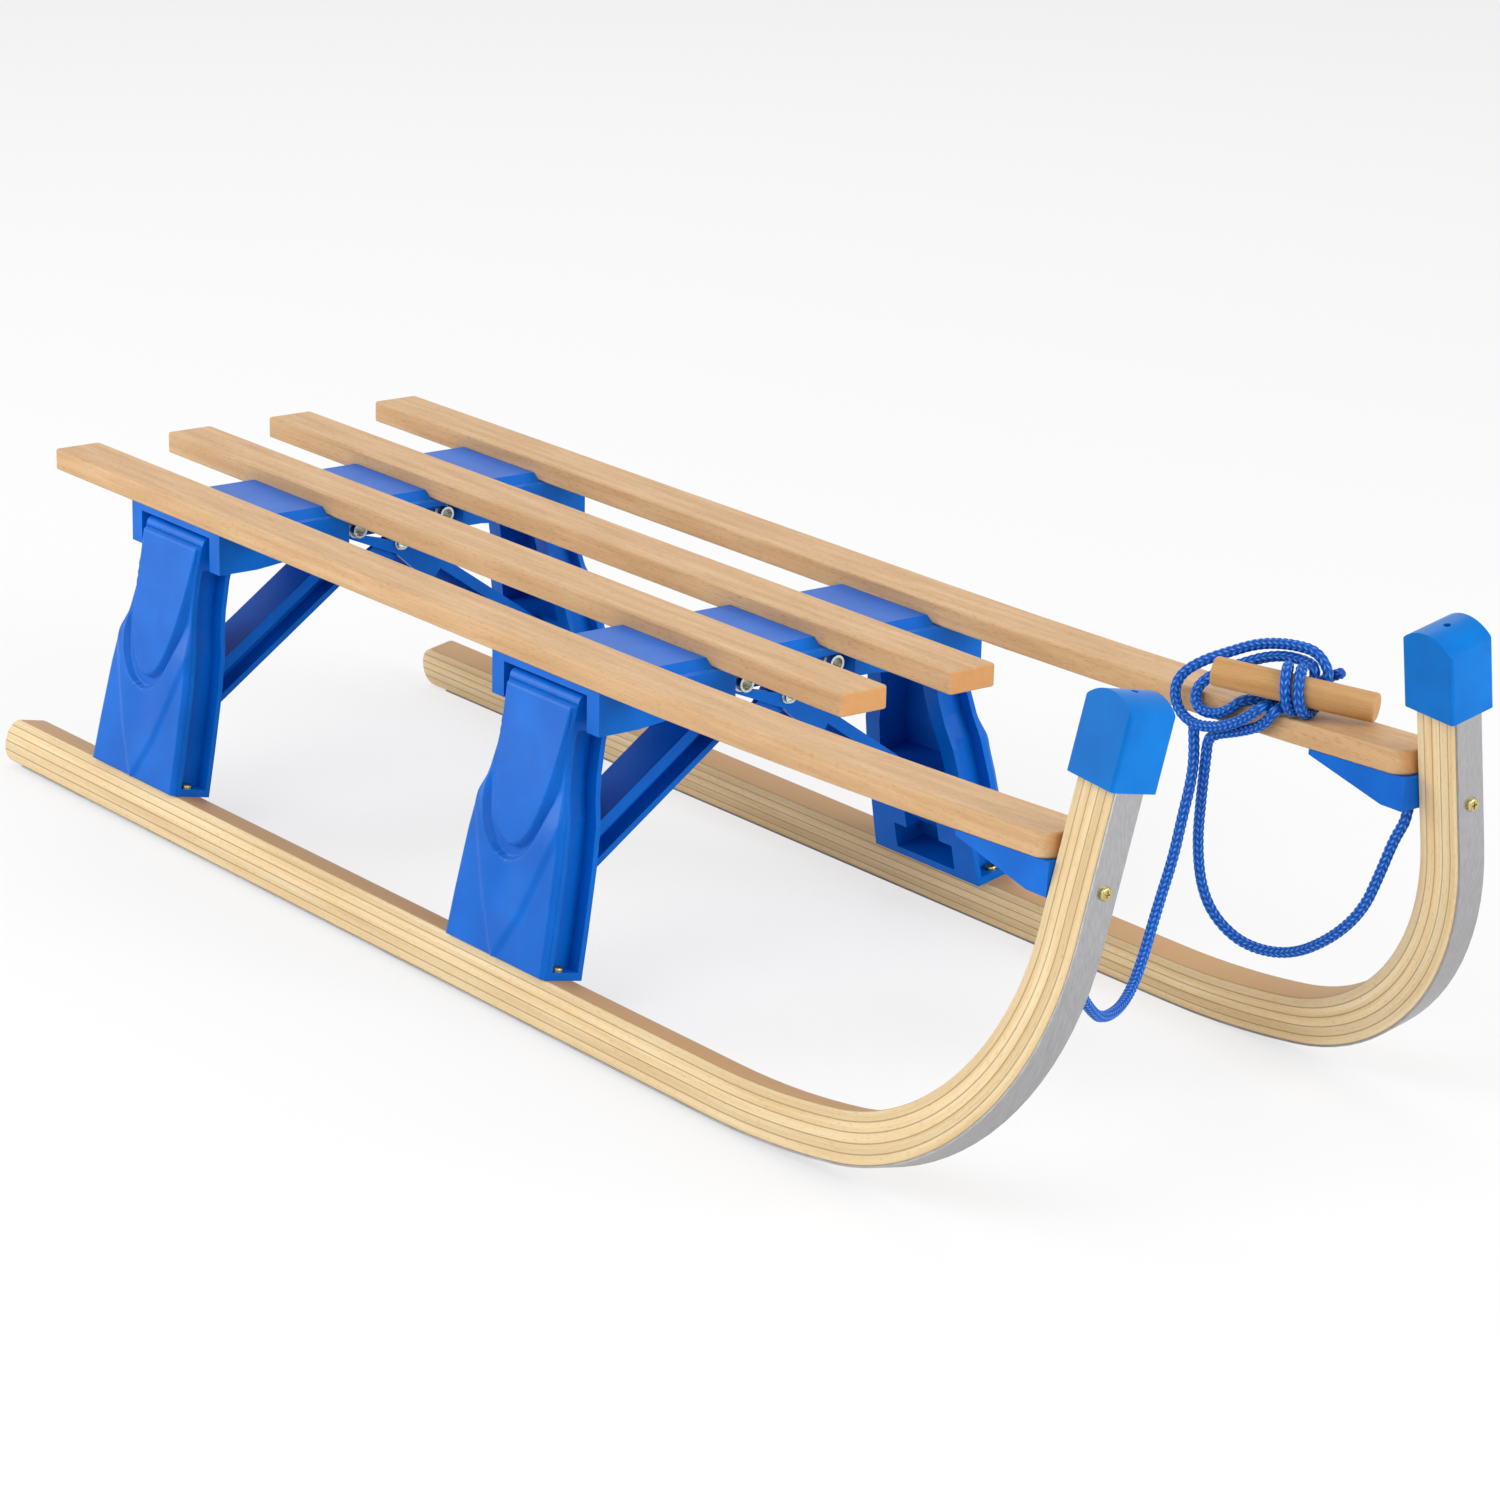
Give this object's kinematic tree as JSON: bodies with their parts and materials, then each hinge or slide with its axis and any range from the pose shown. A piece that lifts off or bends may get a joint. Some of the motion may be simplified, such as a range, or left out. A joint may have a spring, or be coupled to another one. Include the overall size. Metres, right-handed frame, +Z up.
{
  "type": "wooden sledge",
  "caption": "Wooden sledge with bent horn runners on steel strips, blue plastic legs and crossbeams, seat slats and a tow rope with a wooden handle.",
  "frame": {"origin": "middle of the sledge's outline on the floor, the rope left out", "axes": "+X forwards to the horns, +Y to the rider's left, +Z up from the floor"},
  "size_m": [1.0974, 0.373, 0.3161],
  "materials": {
    "slat_wood": "satin",
    "runner_wood": "satin",
    "handle_wood": "satin",
    "frame_plastic": "satin",
    "cap_plastic": "semi-gloss",
    "strip_steel": "satin",
    "rivet_metal": "polished",
    "screw_metal": "satin",
    "rope_fibre": "matte"
  },
  "bodies": {
    "root": {"near_runner": "runner_wood", "far_runner": "runner_wood", "near_runner_strip": "strip_steel", "far_runner_strip": "strip_steel", "near_horn_cap": "cap_plastic", "far_horn_cap": "cap_plastic", "near_rear_leg": "frame_plastic", "far_rear_leg": "frame_plastic", "near_front_leg": "frame_plastic", "far_front_leg": "frame_plastic", "near_rear_brace": "frame_plastic", "far_rear_brace": "frame_plastic", "near_front_brace": "frame_plastic", "far_front_brace": "frame_plastic", "near_horn_bracket": "frame_plastic", "far_horn_bracket": "frame_plastic", "near_inner_slat": "slat_wood", "far_inner_slat": "slat_wood", "near_outer_slat": "slat_wood", "far_outer_slat": "slat_wood", "rear_crossbeam": "frame_plastic", "front_crossbeam": "frame_plastic", "rear_beam_rivets": "rivet_metal", "front_beam_rivets": "rivet_metal", "rear_cross_rivet": "rivet_metal", "front_cross_rivet": "rivet_metal", "leg_foot_screws": "screw_metal", "horn_screws": "screw_metal", "handle": "handle_wood", "rope_knot": "rope_fibre", "rope_far_strand": "rope_fibre", "rope_near_strand": "rope_fibre"}
  },
  "joints": []
}
